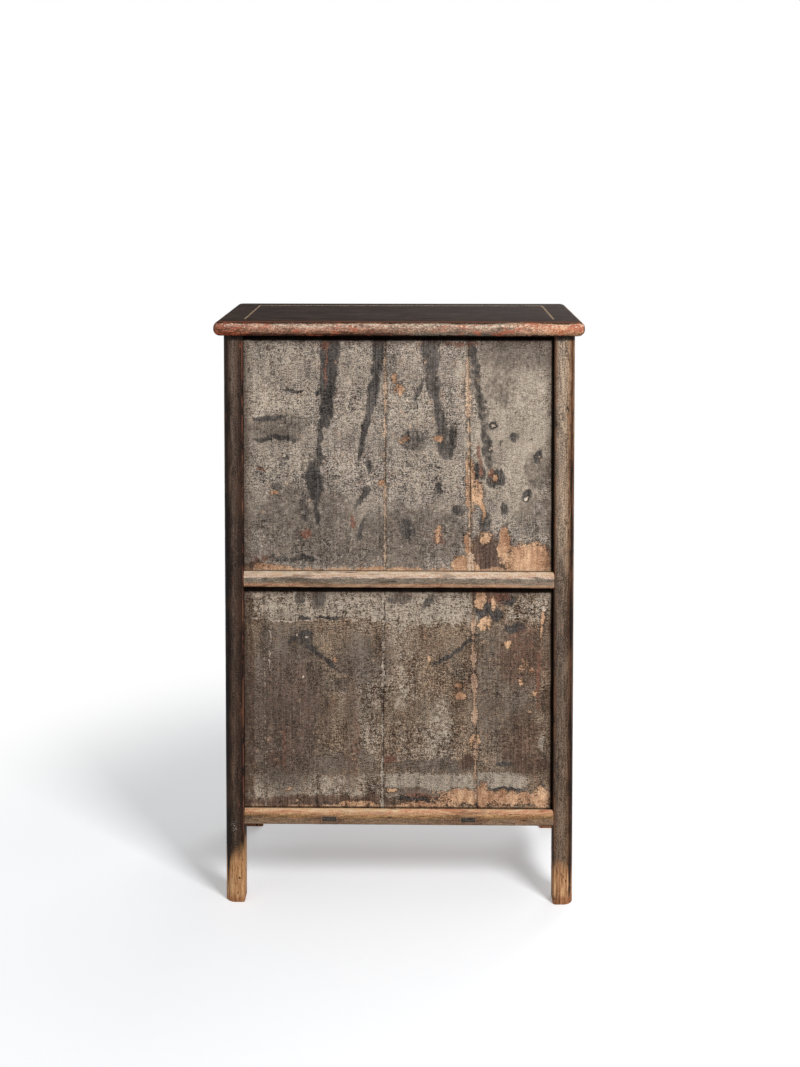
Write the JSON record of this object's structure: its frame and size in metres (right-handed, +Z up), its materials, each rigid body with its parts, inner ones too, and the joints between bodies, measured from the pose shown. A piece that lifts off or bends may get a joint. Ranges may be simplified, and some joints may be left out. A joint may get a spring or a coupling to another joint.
{
  "type": "round-corner cabinet",
  "caption": "Tall free-standing wooden cabinet with leaning round-cornered posts, an overhanging cap, panelled back and sides and doors on wooden pivots.",
  "frame": {"origin": "bottom centre of the cabinet, on the floor midway between the feet", "axes": "+Z up, doors toward -Y, the pictured back toward +Y, the cabinet's right as seen from the doors toward +X"},
  "size_m": [0.96, 0.5, 1.605],
  "materials": {
    "lacquer_post": "worn dark lacquer",
    "lacquer_cap": "worn red-brown lacquer",
    "lacquer_rail": "worn lacquer over bare wood",
    "lacquer_board": "worn grey-brown lacquer",
    "lacquer_front": "worn dark lacquer",
    "inner_wood": "bare aged wood",
    "brass": "aged brass"
  },
  "bodies": {
    "cabinet": {"back_batten_lower": "inner_wood", "back_batten_upper": "inner_wood", "back_board_lower_left": "lacquer_board", "back_board_lower_middle": "lacquer_board", "back_board_lower_right": "lacquer_board", "back_board_upper_left": "lacquer_board", "back_board_upper_middle": "lacquer_board", "back_board_upper_right": "lacquer_board", "back_rail_bottom": "lacquer_rail", "back_rail_middle": "lacquer_rail", "bottom_brace_left": "inner_wood", "bottom_brace_right": "inner_wood", "bottom_panel": "inner_wood", "cap_brace_left": "inner_wood", "cap_brace_right": "inner_wood", "cap_end_left": "lacquer_cap", "cap_end_right": "lacquer_cap", "cap_panel": "lacquer_cap", "cap_rail_back": "lacquer_cap", "cap_rail_front": "lacquer_cap", "front_apron": "lacquer_front", "front_rail_bottom": "lacquer_front", "post_back_left": "lacquer_post", "post_back_right": "lacquer_post", "post_front_left": "lacquer_post", "post_front_right": "lacquer_post", "shelf_brace_left": "inner_wood", "shelf_brace_right": "inner_wood", "shelf_panel": "inner_wood", "shelf_rail_front": "inner_wood", "side_apron_left": "lacquer_rail", "side_apron_right": "lacquer_rail", "side_panel_lower_left": "lacquer_board", "side_panel_lower_right": "lacquer_board", "side_panel_upper_left": "lacquer_board", "side_panel_upper_right": "lacquer_board", "side_rail_bottom_left": "lacquer_rail", "side_rail_bottom_right": "lacquer_rail", "side_rail_middle_left": "lacquer_rail", "side_rail_middle_right": "lacquer_rail"},
    "door_left": {"door_left_brace_lower": "inner_wood", "door_left_brace_upper": "inner_wood", "door_left_hanging_stile": "lacquer_front", "door_left_lock_plate": "brass", "door_left_meeting_stile": "lacquer_front", "door_left_panel": "lacquer_front", "door_left_rail_bottom": "lacquer_front", "door_left_rail_top": "lacquer_front"},
    "door_right": {"door_right_brace_lower": "inner_wood", "door_right_brace_upper": "inner_wood", "door_right_hanging_stile": "lacquer_front", "door_right_lock_plate": "brass", "door_right_meeting_stile": "lacquer_front", "door_right_panel": "lacquer_front", "door_right_rail_bottom": "lacquer_front", "door_right_rail_top": "lacquer_front"},
    "center_stile": {"center_stile": "lacquer_front", "lock_plate_center": "brass"},
    "pull_left": {"door_left_pull": "brass"},
    "pull_right": {"door_right_pull": "brass"}
  },
  "joints": [
    {"name": "door_right_hinge", "type": "hinge", "parent": "cabinet", "child": "door_right", "pos_m": [0.40357, -0.22691, 0.269], "axis": [-0.0128, 0.0115, 0.9999], "range_deg": [0, 95]},
    {"name": "door_left_hinge", "type": "hinge", "parent": "cabinet", "child": "door_left", "pos_m": [-0.40357, -0.22691, 0.269], "axis": [-0.0128, -0.0115, -0.9999], "range_deg": [0, 95]},
    {"name": "center_stile_lift", "type": "slide", "parent": "cabinet", "child": "center_stile", "axis": [0, 0.0115, 0.9999], "range_m": [0, 0.012]},
    {"name": "pull_right_swing", "type": "hinge", "parent": "door_right", "child": "pull_right", "pos_m": [0.0455, -0.2411, 0.86206], "axis": [-1, 0, 0], "range_deg": [-2.5, 80]},
    {"name": "pull_left_swing", "type": "hinge", "parent": "door_left", "child": "pull_left", "pos_m": [-0.0455, -0.2411, 0.86206], "axis": [-1, 0, 0], "range_deg": [-2.5, 80]}
  ]
}
